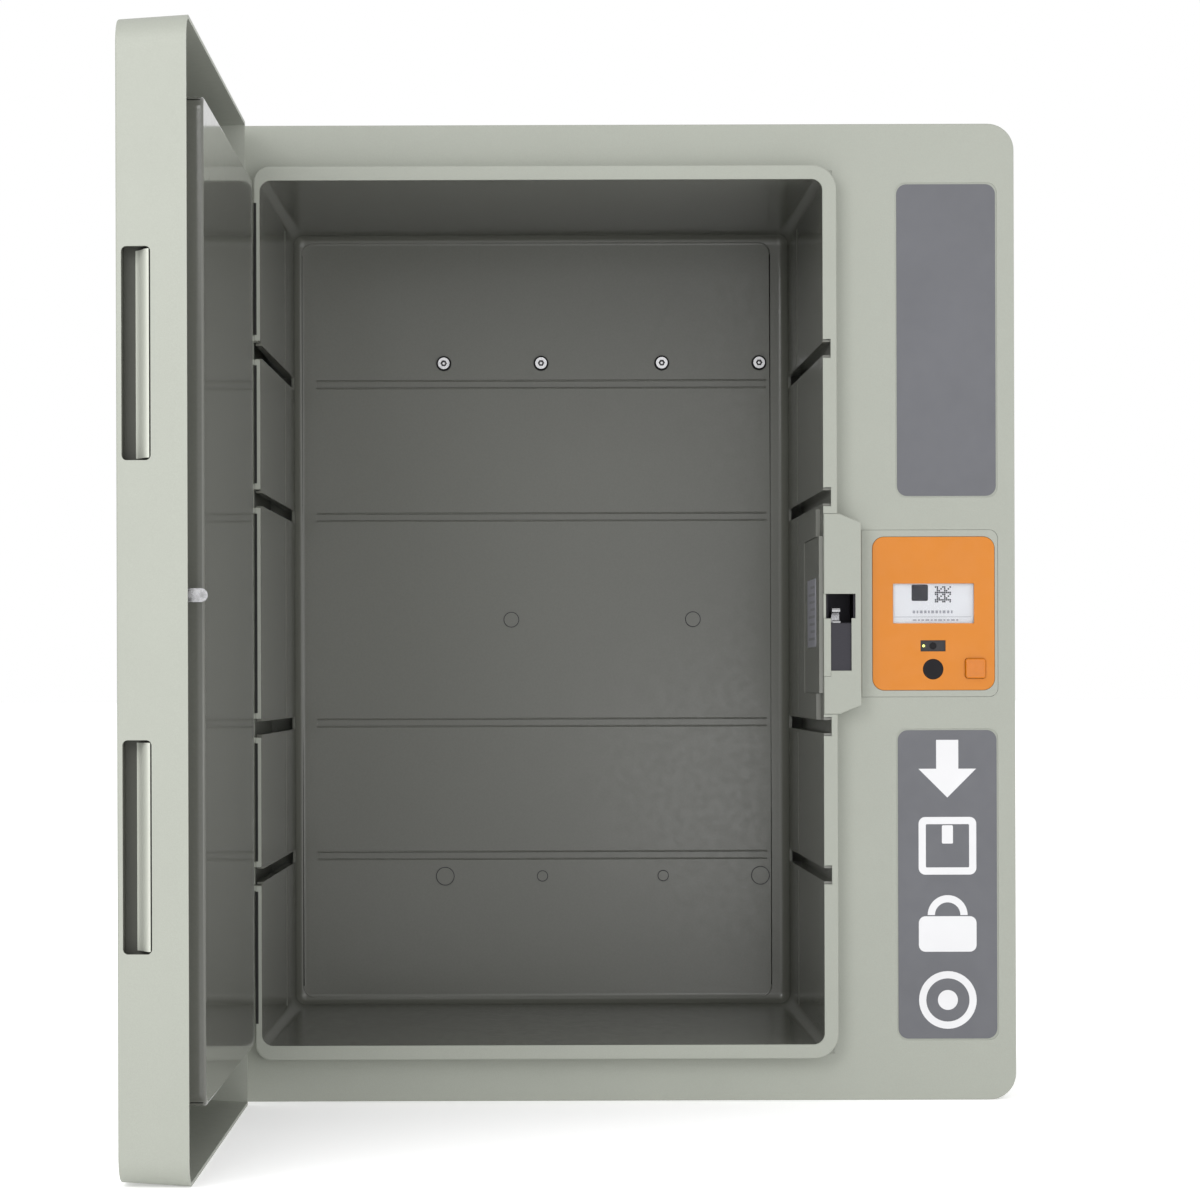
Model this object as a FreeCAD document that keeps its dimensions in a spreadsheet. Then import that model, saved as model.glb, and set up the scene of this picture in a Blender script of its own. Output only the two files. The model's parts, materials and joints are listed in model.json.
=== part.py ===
"""Parcel locker: a moulded cabinet with one side-hung door, standing open at a right angle.

Millimetres, X to the right, Y to the rear, Z up, origin at the middle of the base.
Door pieces are drawn shut and swung open about the hinge pins by their Placement.
"""
import FreeCAD, Part
import Sketcher
import math
import os
import re

SIZES = {
    # cabinet
    "half_width": 353, "tall": 880, "mid": 440, "front": -205, "rear": 205,
    "corner": 24, "hinge_corner": 3, "plate": 3.5, "flange": 38, "seam": 1.5, "edge_round": 1.2,
    # mouth of the compartment and the raised rim around it
    "mouth_left": -325.7, "mouth_right": 179, "mouth_low": 52, "mouth_high": 828, "mouth_corner": 10,
    "proud": 20, "lip": 3, "rim_face": 12.5, "rim_thin": 5.3, "rim_skin": 2.6, "rim_corner": 22,
    # liner
    "liner_skin": 2.5, "liner_deep": 404, "draft_side": 5.4, "draft_tall": 3.5, "liner_corner": 10,
    # shelf channels and back grooves
    "shelf_far": 236, "shelf_near": 103, "channel_tall": 12, "notch_tall": 17, "notch_deep": 7,
    "groove_tall": 7.6, "groove_deep": 1.2, "groove_left": -299, "groove_right": 152,
    # door, drawn shut
    "hinge_x": -357, "hinge_y": -225.5, "door_right": 217.5, "door_gap": 1.5, "door_thick": 53.3,
    "door_skin": 3, "door_draft": 3, "plug_left": -320, "plug_right": 174, "plug_low": 57,
    "plug_high": 823, "plug_deep": 7.5, "plug_skin": 2.5,
    "grip_mid": 184.5, "grip_tall": 160, "grip_wide": 22, "grip_deep": 14, "grip_start": 4,
    # hinges
    "hinge_mid": 290, "hinge_tall": 90, "knuckle": 3.6, "pin_radius": 2.5, "fit": 0.05,
    "leaf_thick": 2.5, "leaf_near": 4.2, "leaf_long": 29.5,
    # lock
    "cover_right": 212.8, "cover_low": 348, "cover_high": 528, "cover_slope": 8, "cover_skin": 2.2,
    "strike_z": 444, "strike_in": 6.8, "strike_pin": 3.2, "tongue_half": 5.2, "tongue_x": 196.5,
    "tongue_thick": 3, "claw_x": 187.5, "claw_thick": 7.2, "claw_drop": 17, "claw_back": 16.8,
    "claw_open": 70.5, "claw_disc": 14, "claw_reach": 28, "slot_half": 3.75, "jaw": 5,
    "claw_pin": 3, "pawl_arm": 16, "pawl_drop": 20, "pawl_pin": 2.2, "pawl_open": 11,
    "pin_left": 185.5, "pin_long": 23.2, "strip_wide": 6.5, "strip_low": 382, "strip_high": 433.8,
    "window_low": 434, "window_high": 456, "window_right": 207.6, "slot_right": 204, "slot_low": 387,
    "case_left": 184, "case_right": 210.2, "case_low": 366, "case_high": 478, "case_skin": 1.5,
    "case_near": 4.5, "case_deep": 60, "coil_low": 372, "coil_tall": 20, "coil_radius": 5.5,
    "coil_bore": 2.8, "plunger_radius": 2.75, "plunger_low": 376, "plunger_long": 19.6,
    # control module
    "module_left": 213.5, "module_right": 337.5, "module_low": 363.3, "module_high": 513.8,
    "module_corner": 8, "clearance": 0.2,
    "panel_left": 224.5, "panel_right": 334.5, "panel_low": 369.3, "panel_high": 507.6,
    "panel_corner": 10.5, "panel_thick": 3, "crack": 0.3,
    "screen_left": 243, "screen_right": 316, "screen_low": 429.6, "screen_high": 465.4,
    "scan_left": 267.7, "scan_right": 290.3, "scan_low": 404.2, "scan_high": 414.3,
    "sensor_x": 279, "sensor_z": 388.2, "sensor_radius": 9.3,
    "button_left": 307.8, "button_right": 326.4, "button_low": 379.8, "button_high": 398,
    "button_proud": 2.5, "button_play": 0.25, "panel_proud": 0.4,
    # recessed labels of the right-hand column
    "label_left": 247, "label_right": 336, "upper_low": 544.4, "upper_high": 825.4,
    "lower_low": 55.2, "lower_high": 333.2, "label_corner": 9, "recess": 0.8,
    # service cover on the right-hand wall of the compartment
    "service_low": 367, "service_high": 508, "service_deep": 183, "housing_low": 343,
    "housing_high": 533, "housing_deep": 263,
    # wall fixings
    "fix_mid": -13, "fix_wide": 158, "fix_near": 60.5, "fix_up": 257, "plug_wide": 91,
    "screw_head": 5.75, "screw_head_tall": 3.2, "shank": 3.4, "thread": 3, "stick_out": 14,
    "washer": 7.5, "washer_thick": 1.5,
}

document = FreeCAD.newDocument("parcel_locker")
sheet = document.addObject("Spreadsheet::Sheet", "Sizes")
for row, (name, value) in enumerate(SIZES.items(), 1):
    sheet.set(f"A{row}", name)
    sheet.set(f"B{row}", str(value))
    sheet.setAlias(f"B{row}", name)
document.recompute()

PLANES = {"front": "XZ_Plane", "plan": "XY_Plane", "side": "YZ_Plane"}
parts = []
door_parts = []


def formula(text):
    """The text with every size's name turned into a reference to its cell."""
    return re.sub(r"[a-z_]+", lambda m: "Sizes." + m.group(0) if m.group(0) in SIZES else m.group(0),
                  str(text))


def bind(item, **sizes):
    """Binds properties of an object to formulas, x, y and z meaning its place."""
    places = {"x": "Placement.Base.x", "y": "Placement.Base.y", "z": "Placement.Base.z"}
    for name, text in sizes.items():
        item.setExpression(places.get(name, name), formula(text))
    return item


# ---------------------------------------------------------------- bodies from sketches

def new_body(label, door=False):
    """An empty body, listed among the pieces that are written out."""
    body = document.addObject("PartDesign::Body", label)
    return listed(body, label, door)


def listed(item, label, door=False):
    """Names a piece and lists it, with the door's pieces kept apart."""
    item.Label = label
    parts.append(item)
    if door:
        door_parts.append(item)
    return item


def new_sketch(body, plane, level):
    """A sketch on one of the body's own planes, moved along Y, Z or X to its level."""
    sketch = body.newObject("Sketcher::SketchObject", "Outline")
    role = PLANES[plane]
    origin_plane = [item for item in body.Origin.OriginFeatures if item.Role == role][0]
    sketch.AttachmentSupport = (origin_plane, [""])
    sketch.MapMode = "FlatFace"
    sign = "-" if plane == "front" else ""
    sketch.setExpression("AttachmentOffset.Base.z", formula(f"{sign}({level})"))
    return sketch


def polygon_sketch(body, plane, level, loops):
    """Closed straight-sided loops, every corner placed by a pair of formulas."""
    sketch = new_sketch(body, plane, level)
    for loop in loops:
        first = sketch.GeometryCount
        count = len(loop)
        turn = 2 * math.pi / count
        seed = [FreeCAD.Vector(math.cos(turn * k), math.sin(turn * k), 0) for k in range(count)]
        sketch.addGeometry([Part.LineSegment(seed[k], seed[(k + 1) % count]) for k in range(count)])
        rules = []
        for k in range(count):
            rules.append(Sketcher.Constraint("Coincident", first + k, 2, first + (k + 1) % count, 1))
            rules.append(Sketcher.Constraint("DistanceX", -1, 1, first + k, 1, seed[k].x))
            rules.append(Sketcher.Constraint("DistanceY", -1, 1, first + k, 1, seed[k].y))
        start = sketch.ConstraintCount
        sketch.addConstraint(rules)
        for k, (across, up) in enumerate(loop):
            sketch.setExpression(f"Constraints[{start + 3 * k + 1}]", formula(across))
            sketch.setExpression(f"Constraints[{start + 3 * k + 2}]", formula(up))
    return sketch


def circle_sketch(body, plane, level, circles):
    """Full circles, each an (across, up, radius) of formulas."""
    sketch = new_sketch(body, plane, level)
    for across, up, radius in circles:
        item = sketch.addGeometry(Part.Circle(FreeCAD.Vector(1, 1, 0), FreeCAD.Vector(0, 0, 1), 1))
        start = sketch.ConstraintCount
        sketch.addConstraint([Sketcher.Constraint("DistanceX", -1, 1, item, 3, 1.0),
                              Sketcher.Constraint("DistanceY", -1, 1, item, 3, 1.0),
                              Sketcher.Constraint("Radius", item, 1.0)])
        for offset, text in enumerate((across, up, radius)):
            sketch.setExpression(f"Constraints[{start + offset}]", formula(text))
    return sketch


def box_loop(left, right, low, high):
    """The four corners of an upright rectangle."""
    return [(left, low), (right, low), (right, high), (left, high)]


def pad(body, plane, sketch, length):
    """Material from a sketch towards the rear, upwards or to the right."""
    feature = body.newObject("PartDesign::Pad", "Pad")
    feature.Profile = sketch
    feature.Reversed = plane == "front"
    bind(feature, Length=length)
    document.recompute()
    return feature


def pocket(body, plane, sketch, length):
    """A cut from a sketch towards the rear, upwards or to the right, checked to remove material."""
    before = body.Shape.Volume
    feature = body.newObject("PartDesign::Pocket", "Pocket")
    feature.Profile = sketch
    feature.Reversed = plane != "front"
    bind(feature, Length=length)
    document.recompute()
    if body.Shape.Volume > before - 1e-6:
        raise RuntimeError(f"a pocket of {body.Label} cuts nothing")
    return feature


def block(body, plane, level, length, *loops):
    """Adds straight-sided material."""
    return pad(body, plane, polygon_sketch(body, plane, level, loops), length)


def carve(body, plane, level, length, *loops):
    """Removes straight-sided material."""
    return pocket(body, plane, polygon_sketch(body, plane, level, loops), length)


def loft(body, kind, near, far):
    """A straight loft between two rectangles, each a (level, loop) on the front plane."""
    before = body.Shape.Volume if body.Tip else 0
    feature = body.newObject(f"PartDesign::{kind}Loft", "Loft")
    feature.Profile = polygon_sketch(body, "front", near[0], [near[1]])
    feature.Sections = [polygon_sketch(body, "front", far[0], [far[1]])]
    feature.Ruled = True
    document.recompute()
    if kind == "Subtractive" and body.Shape.Volume > before - 1e-6:
        raise RuntimeError(f"a loft of {body.Label} cuts nothing")
    return feature


def soften(body, radius, test):
    """Rounds the edges of a body that pass the test, which is given each edge's box."""
    names = [f"Edge{k}" for k, edge in enumerate(body.Shape.Edges, 1) if test(edge.BoundBox)]
    if not names:
        raise RuntimeError(f"no edge of {body.Label} to round")
    base = body.Tip
    feature = body.newObject("PartDesign::Fillet", "Fillet")
    feature.Base = (base, names)
    bind(feature, Radius=radius)
    document.recompute()
    if "Invalid" in feature.State:
        raise RuntimeError(f"a fillet of {body.Label} failed")
    return feature


def near(one, other, slack=0.05):
    """True where two places agree."""
    return abs(one - other) < slack


def runs_along(box, axis, length=1.0):
    """True for an edge whose box is long only along one axis."""
    spans = {"X": box.XLength, "Y": box.YLength, "Z": box.ZLength}
    return spans.pop(axis) > length and max(spans.values()) < 0.05


def at_front(box, level):
    """True for an edge that lies in the plane y = level."""
    return near(box.YMin, level) and near(box.YMax, level)


# ---------------------------------------------------------------- pieces from primitives

def plain_box(left, right, front, rear, low, high):
    """A box between six formulas."""
    item = document.addObject("Part::Box", "Box")
    return bind(item, x=left, y=front, z=low, Length=f"({right}) - ({left})",
                Width=f"({rear}) - ({front})", Height=f"({high}) - ({low})")


def rod(axis, x, y, z, radius, length):
    """A cylinder that starts at a place and runs along +X, +Y or +Z."""
    item = document.addObject("Part::Cylinder", "Rod")
    turns = {"X": ((0, 1, 0), 90), "Y": ((1, 0, 0), -90), "Z": ((0, 0, 1), 0)}
    spin, angle = turns[axis]
    item.Placement.Rotation = FreeCAD.Rotation(FreeCAD.Vector(*spin), angle)
    return bind(item, x=x, y=y, z=z, Radius=radius, Height=length)


def fused(items):
    """One solid of several that touch, or the only one."""
    if len(items) == 1:
        return items[0]
    item = document.addObject("Part::MultiFuse", "Fusion")
    item.Shapes = items
    return item


def less(base, tools):
    """A piece with others cut away from it."""
    item = document.addObject("Part::Cut", "Cut")
    item.Base = base
    item.Tool = fused(tools)
    return item


def group(items):
    """Several separate solids in one piece."""
    item = document.addObject("Part::Compound", "Group")
    item.Links = items
    return item


def filleted(base, radius, test):
    """A primitive with the edges that pass the test rounded."""
    document.recompute()
    item = document.addObject("Part::Fillet", "Rounded")
    item.Base = base
    size = SIZES[radius] if radius in SIZES else radius
    item.Edges = [(k, size, size) for k, edge in enumerate(base.Shape.Edges, 1)
                  if test(edge.BoundBox)]
    return item


# ---------------------------------------------------------------- cabinet

FRONT = SIZES["front"]
RIM_Y = SIZES["front"] - SIZES["proud"]
SHELF_LEVELS = ["mid + shelf_far", "mid + shelf_near", "mid - shelf_near", "mid - shelf_far"]


def front_frame():
    """The bezel: a plate with a turned-back flange, and a hollow rim raised around the mouth."""
    body = new_body("front_frame")
    block(body, "front", "front", "flange", box_loop("-half_width", "half_width", "0", "tall"))
    carve(body, "front", "front + plate", "flange",
          box_loop("-half_width + plate", "half_width - plate", "plate", "tall - plate"))
    soften(body, "corner - plate", lambda b: runs_along(b, "Y", 30) and 300 < b.XMin < 352)
    soften(body, "corner", lambda b: runs_along(b, "Y", 30) and near(b.XMin, 353))
    soften(body, "hinge_corner", lambda b: runs_along(b, "Y", 30) and near(b.XMax, -353))
    soften(body, "edge_round", lambda b: at_front(b, FRONT))
    block(body, "front", "front - proud", "proud + 1",
          box_loop("mouth_left - rim_thin", "mouth_right + rim_face", "mouth_low - rim_face",
                   "mouth_high + rim_face"))
    soften(body, "rim_corner", lambda b: runs_along(b, "Y", 15) and near(b.YMin, RIM_Y) and b.XMin > 0)
    soften(body, "rim_corner - 8", lambda b: runs_along(b, "Y", 15) and near(b.YMin, RIM_Y) and b.XMax < 0)
    soften(body, "edge_round", lambda b: at_front(b, RIM_Y))
    block(body, "front", "front - proud + 0.4", "proud",
          *[box_loop("mouth_left - 9", "mouth_left - rim_thin + 1", f"{z} - 13", f"{z} + 13")
            for z in SHELF_LEVELS])
    carve(body, "front", "front - proud + lip", "proud + 10",
          box_loop("mouth_left - liner_skin - 0.2", "mouth_right + rim_face - rim_skin",
                   "mouth_low - rim_face + rim_skin", "mouth_high + rim_face - rim_skin"))
    carve(body, "front", "front - proud", "proud + 10",
          box_loop("mouth_left", "mouth_right", "mouth_low", "mouth_high"))
    soften(body, "mouth_corner", lambda b: runs_along(b, "Y", 2) and near(b.YMin, RIM_Y)
           and (near(b.XMax, SIZES["mouth_left"]) or near(b.XMax, SIZES["mouth_right"])))
    carve(body, "front", "front - proud", "proud + 10",
          *[box_loop("mouth_left - notch_deep", "mouth_left + 1", f"{z} - notch_tall / 2",
                     f"{z} + notch_tall / 2") for z in SHELF_LEVELS],
          *[box_loop("mouth_right - 1", "mouth_right + notch_deep", f"{z} - notch_tall / 2",
                     f"{z} + notch_tall / 2") for z in SHELF_LEVELS])
    carve(body, "front", "front - proud", "proud + 10", cover_outline("(-clearance)"))
    carve(body, "front", "front - proud", "proud + 10",
          box_loop("module_left + 1", "module_right + clearance",
                   "module_low - clearance", "module_high + clearance"))
    soften(body, "module_corner + clearance",
           lambda b: runs_along(b, "Y", 2) and near(b.XMin, SIZES["module_right"] + SIZES["clearance"]))
    carve(body, "front", "front", "recess",
          box_loop("label_left - 1.5", "label_right + 1.5", "upper_low - 1.5", "upper_high + 1.5"),
          box_loop("label_left - 1.5", "label_right + 1.5", "lower_low - 1.5", "lower_high + 1.5"))
    soften(body, "label_corner", lambda b: runs_along(b, "Y", 0.5) and near(b.YLength, SIZES["recess"])
           and near(b.YMin, FRONT) and b.XMin > 240)
    carve(body, "front", "front - proud", "8", *[seal_loop(low, high, "0") for low, high in seal_spans()])


def seal_spans():
    """The heights of the five seal strips beside the hinges, between the shelf notches."""
    stops = ["mouth_high - 20"] + SHELF_LEVELS + ["mouth_low + 20"]
    spans = []
    for above, below in zip(stops, stops[1:]):
        top = above if above == stops[0] else f"{above} - 13.5"
        foot = below if below == stops[-1] else f"{below} + 13.5"
        spans.append((foot, top))
    return spans


def seal_loop(low, high, gap):
    """One strip's outline in the thin left side of the rim."""
    return box_loop("mouth_left - rim_thin - 1", f"mouth_left - liner_skin - 0.3 - {gap}",
                    f"{low} + {gap}", f"{high} - {gap}")


def rim_seals():
    """Black seal strips let into the left side of the rim."""
    body = new_body("rim_seals")
    for low, high in seal_spans():
        block(body, "front", "front - proud + 0.3", "7.7",
              box_loop("mouth_left - rim_thin", "mouth_left - liner_skin - 0.3", low, high))


def outer_shell():
    """The deep outer casing, with a lip that plugs into the bezel's flange."""
    body = new_body("outer_shell")
    block(body, "front", "front + flange + seam", "rear - front - flange - seam",
          box_loop("-half_width", "half_width", "0", "tall"))
    block(body, "front", "front + flange - 10", "20",
          box_loop("-half_width + plate + 0.2", "half_width - plate - 0.2", "plate + 0.2",
                   "tall - plate - 0.2"))
    carve(body, "front", "front + flange - 11", "rear - front - flange + 11 - plate",
          box_loop("-half_width + 2 * plate", "half_width - 2 * plate", "2 * plate", "tall - 2 * plate"))
    soften(body, "corner - 2 * plate", lambda b: runs_along(b, "Y", 300) and 300 < b.XMin < 348)
    soften(body, "corner - plate", lambda b: runs_along(b, "Y", 5) and near(b.XMin, 349.3))
    soften(body, "corner", lambda b: runs_along(b, "Y", 30) and near(b.XMin, 353))
    soften(body, "hinge_corner", lambda b: runs_along(b, "Y", 30) and near(b.XMax, -353))
    soften(body, "2.5", lambda b: at_front(b, SIZES["rear"]))
    sketch = circle_sketch(body, "front", "rear - plate - 1", [(x, z, "shank") for x, z in fix_places("+")])
    pocket(body, "front", sketch, "plate + 2")


def fix_places(side):
    """The X and Z formulas of the four fixings of the upper or lower row."""
    offsets = ["- fix_wide", "- fix_near", "+ fix_near", "+ fix_wide"]
    return [(f"fix_mid {offset}", f"mid {side} fix_up") for offset in offsets]


def liner_box(level, grow, draft, margin="0"):
    """A cross-section of the compartment, grown outwards and drawn in by its draft."""
    low = f"mouth_low - {grow} + draft_tall * {draft} + {margin}"
    high = f"mouth_high + {grow} - draft_tall * {draft} - {margin}"
    return level, box_loop(f"mouth_left - {grow} + draft_side * {draft}",
                           f"mouth_right + {grow} - draft_side * {draft}", low, high)


def channel_loops(side, deep, tall):
    """The outlines, seen from the front, of the four shelf channels on one wall."""
    loops = []
    for level in SHELF_LEVELS:
        if side == "left":
            edges = (f"mouth_left - {deep}", "mouth_left + draft_side + 4")
        else:
            edges = ("mouth_right - draft_side - 4", f"mouth_right + {deep}")
        loops.append(box_loop(*edges, f"{level} - ({tall}) / 2", f"{level} + ({tall}) / 2"))
    return loops


def inner_liner():
    """The dark tub: tapered walls, rounded corners, shelf channels and grooves across the back."""
    body = new_body("inner_liner")
    start = "front - proud + lip"
    loft(body, "Additive", liner_box(start, "liner_skin", "0"),
         liner_box(f"{start} + liner_deep + liner_skin", "liner_skin", "1"))
    loft(body, "Subtractive", liner_box(start, "0", "0"), liner_box(f"{start} + liner_deep", "0", "1"))
    inside = SIZES["front"] - SIZES["proud"] + SIZES["lip"] + SIZES["liner_deep"]
    soften(body, "liner_corner", lambda b: b.YLength > 300 and is_corner(b, 0))
    soften(body, "liner_corner - 0.5", lambda b: near(b.YMin, inside, 0.2) and near(b.YMax, inside, 0.2))
    soften(body, "liner_corner + liner_skin",
           lambda b: b.YLength > 300 and is_corner(b, SIZES["liner_skin"]))
    for side in ("left", "right"):
        front_of = "front + plate + 0.5" if side == "left" else start
        block(body, "front", front_of, f"{start} + liner_deep - 12 - ({front_of})",
              *channel_loops(side, "notch_deep + 1.6", "channel_tall + 4"))
    loft(body, "Subtractive", liner_box(start, "0", "0", "30"),
         liner_box(f"{start} + liner_deep - 12", "0", "(liner_deep - 12) / liner_deep", "30"))
    for side in ("left", "right"):
        carve(body, "front", start, "liner_deep - 12", *channel_loops(side, "notch_deep", "channel_tall"))
    carve(body, "front", start, "proud - lip + plate + 0.5",
          *channel_loops("left", "notch_deep", "notch_tall"))
    carve(body, "front", f"{start} + liner_deep - 3", "3 + groove_deep",
          *[box_loop("groove_left", "groove_right", f"{z} - groove_tall / 2", f"{z} + groove_tall / 2")
            for z in SHELF_LEVELS])
    sketch = circle_sketch(body, "front", f"{start} + liner_deep - 3",
                           [(x, z, "shank + 0.1") for x, z in fix_places("+")])
    pocket(body, "front", sketch, "8")


def is_corner(box, grow):
    """True for the tub's long corner edges, inside with no growth and outside with the wall's."""
    across = min(abs(box.XMin - SIZES["mouth_left"] + grow), abs(box.XMax - SIZES["mouth_right"] - grow))
    upward = min(abs(box.ZMin - SIZES["mouth_low"] + grow), abs(box.ZMax - SIZES["mouth_high"] - grow))
    return across < 0.3 and upward < 0.3


# ---------------------------------------------------------------- fixings and wall plugs

BACK_Y = "front - proud + lip + liner_deep"


def wall_screws():
    """Four button-head screws with a stepped shank that ends behind the casing."""
    screws = []
    for x, z in fix_places("+"):
        seat = f"{BACK_Y} - washer_thick"
        head = rod("Y", x, f"{seat} - screw_head_tall", z, "screw_head", "screw_head_tall")
        socket = rod("Y", x, f"{seat} - screw_head_tall - 1", z, "2", "3")
        shank = rod("Y", x, seat, z, "shank - 0.1", f"rear - ({seat})")
        thread = rod("Y", x, "rear - 1", z, "thread", "stick_out + 1")
        screws.append(less(fused([head, shank, thread]), [socket]))
    listed(group(screws), "wall_screws")


def screw_washers():
    """Rubber washers under the screw heads."""
    washers = [less(rod("Y", x, f"{BACK_Y} - washer_thick", z, "washer", "washer_thick"),
                    [rod("Y", x, f"{BACK_Y} - washer_thick - 1", z, "shank", "washer_thick + 2")])
               for x, z in fix_places("+")]
    listed(group(washers), "screw_washers")


def wall_plugs():
    """Discs that close the unused fixing holes of the back wall."""
    radii = ["8.5", "4.8", "4.8", "8.5"]
    places = [(x, z, radius) for (x, z), radius in zip(fix_places("-"), radii)]
    places += [("fix_mid - plug_wide", "mid", "7"), ("fix_mid + plug_wide", "mid", "7")]
    plugs = [rod("Y", x, f"{BACK_Y} - 0.8", z, radius, "0.8") for x, z, radius in places]
    listed(group(plugs), "wall_plugs")


# ---------------------------------------------------------------- service cover

def wall_at(depth):
    """The X of the right-hand wall at a depth behind the tub's front edge."""
    return f"(mouth_right - 0.1 - draft_side * ({depth}) / liner_deep)"


def on_wall(body, face, first, last, low, high):
    """Material on the tapering right-hand wall, with a face square to the front."""
    start = "front - proud + lip"
    outline = [(face, f"{start} + {first}"), (wall_at(first), f"{start} + {first}"),
               (wall_at(last), f"{start} + {last}"), (face, f"{start} + {last}")]
    block(body, "plan", low, f"{high} - {low}", outline)


def service_housing():
    """A shallow raised frame on the right-hand wall, around the service cover."""
    body = new_body("service_housing")
    on_wall(body, "mouth_right - 4.6", "28", "housing_deep", "housing_low", "housing_high")
    carve(body, "front", "front - proud", "service_deep + lip + 1",
          box_loop("mouth_right - 9", "mouth_right", "service_low - 0.3", "service_high + 0.3"))


def service_cover():
    """The removable cover of the lock and batteries, with a finger notch."""
    body = new_body("service_cover")
    on_wall(body, "mouth_right - 3.8", "1", "service_deep", "service_low", "service_high")
    carve(body, "front", "front - proud + lip + service_deep - 12", "14",
          box_loop("mouth_right - 9", "mouth_right - 3", "424", "451"))


def info_label():
    """A blank label on the service cover."""
    box = plain_box("mouth_right - 4.1", "mouth_right - 3.8",
                    "front - proud + 44", "front - proud + 148", "409", "471")
    listed(filleted(box, 2, lambda b: runs_along(b, "X", 0.1)), "info_label")


# ---------------------------------------------------------------- hinges

HINGES = {"upper": "mid + hinge_mid", "lower": "mid - hinge_mid"}


def leaf(label, height, door):
    """One hinge leaf: a flat strap, its knuckles, and two countersunk holes."""
    body = new_body(label, door)
    third = "hinge_tall / 3"
    foot = f"{height} - hinge_tall / 2"
    own = [foot, f"{foot} + 2 * {third}"] if not door else [f"{foot} + {third}"]
    sign = "-" if door else "+"
    inner = "-half_width"
    outer = "-half_width - leaf_thick"
    start = f"hinge_y {sign} leaf_near"
    if door:
        far = "hinge_y - leaf_long"
        strap = [(outer, start), (inner, start), (inner, far), (outer, far)]
    else:
        strap = [(outer, start), (f"{inner} - 0.5", start), (f"{inner} - 0.5", "front"), (inner, "front"),
                 (inner, "front + leaf_long"), (outer, "front + leaf_long")]
    block(body, "plan", f"{foot} + 0.3", "hinge_tall - 0.6", strap)
    for base in own:
        root = [(outer, "hinge_y"), ("hinge_x + knuckle", "hinge_y"),
                ("hinge_x + knuckle", start), (outer, start)]
        block(body, "plan", f"{base} + 0.3", f"{third} - 0.6", root)
        ring = circle_sketch(body, "plan", f"{base} + 0.3", [("hinge_x", "hinge_y", "knuckle")])
        pad(body, "plan", ring, f"{third} - 0.6")
    bore = circle_sketch(body, "plan", f"{foot} - 1", [("hinge_x", "hinge_y", "pin_radius + fit")])
    pocket(body, "plan", bore, "hinge_tall + 2")
    along = "hinge_y - 17" if door else "front + 15"
    holes = circle_sketch(body, "side", f"{outer} - 1",
                          [(along, f"{height} - 26", "2.1"), (along, f"{height} + 26", "2.1")])
    pocket(body, "side", holes, "leaf_thick + 2")


def hinge_screws(label, door):
    """Countersunk screws of one set of leaves."""
    screws = []
    along = "hinge_y - 17" if door else "front + 15"
    for height in HINGES.values():
        for offset in ("- 26", "+ 26"):
            spot = f"{height} {offset}"
            outer = "-half_width - leaf_thick"
            head = rod("X", f"{outer} - 1.2", along, spot, "3.8", "1.2")
            shank = rod("X", outer, along, spot, "2", "leaf_thick")
            slot = plain_box(f"{outer} - 2", f"{outer} - 0.6", f"{along} - 2.6", f"{along} + 2.6",
                             f"{spot} - 0.5", f"{spot} + 0.5")
            screws.append(less(fused([head, shank]), [slot]))
    listed(group(screws), label, door)


def hinge_pins():
    """The two steel pins, which stay with the cabinet's leaves."""
    for name, height in HINGES.items():
        shank = rod("Z", "hinge_x", "hinge_y", f"{height} - hinge_tall / 2", "pin_radius", "hinge_tall")
        head = rod("Z", "hinge_x", "hinge_y", f"{height} + hinge_tall / 2", "knuckle - 0.2", "1.2")
        listed(fused([shank, head]), f"hinge_pin_{name}")


# ---------------------------------------------------------------- door, drawn shut

DOOR_EDGE = "front - door_gap"
DOOR_FACE = "front - door_gap - door_thick"


def door_shell():
    """The door's outer moulding: a flat face with a deep tapered skirt and two grip slots."""
    body = new_body("door_shell", True)
    taper = "-atan(door_draft / door_thick)"
    outside = [box_loop("-half_width", "door_right", "0", "tall")]
    outer = pad(body, "front", polygon_sketch(body, "front", DOOR_EDGE, outside), "door_thick")
    outer.Reversed = False
    bind(outer, TaperAngle=taper)
    document.recompute()
    inside = [box_loop("-half_width + door_skin", "door_right - door_skin",
                       "door_skin", "tall - door_skin")]
    room = body.newObject("PartDesign::Pocket", "Pocket")
    room.Profile = polygon_sketch(body, "front", DOOR_EDGE, inside)
    room.Reversed = True
    bind(room, Length="door_thick - door_skin", TaperAngle=taper)
    document.recompute()
    face = SIZES["front"] - SIZES["door_gap"] - SIZES["door_thick"]
    soften(body, "19", lambda b: b.YLength > 40 and 200 < b.XMax < 215)
    soften(body, "22", lambda b: b.YLength > 40 and near(b.XMax, SIZES["door_right"]))
    soften(body, "2", lambda b: b.YLength > 40 and near(b.XMin, -SIZES["half_width"]))
    soften(body, "1.6", lambda b: at_front(b, face))
    for side in ("+", "-"):
        slot = box_loop(f"{DOOR_FACE} + grip_start", f"{DOOR_FACE} + grip_start + grip_wide",
                        f"mid {side} grip_mid - grip_tall / 2", f"mid {side} grip_mid + grip_tall / 2")
        carve(body, "side", "door_right - 10", "20", slot)
    soften(body, "4", lambda b: b.XMin > 200 and 1 < b.XLength < 6 and b.YLength < 0.5 and b.ZLength < 0.5)


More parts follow.
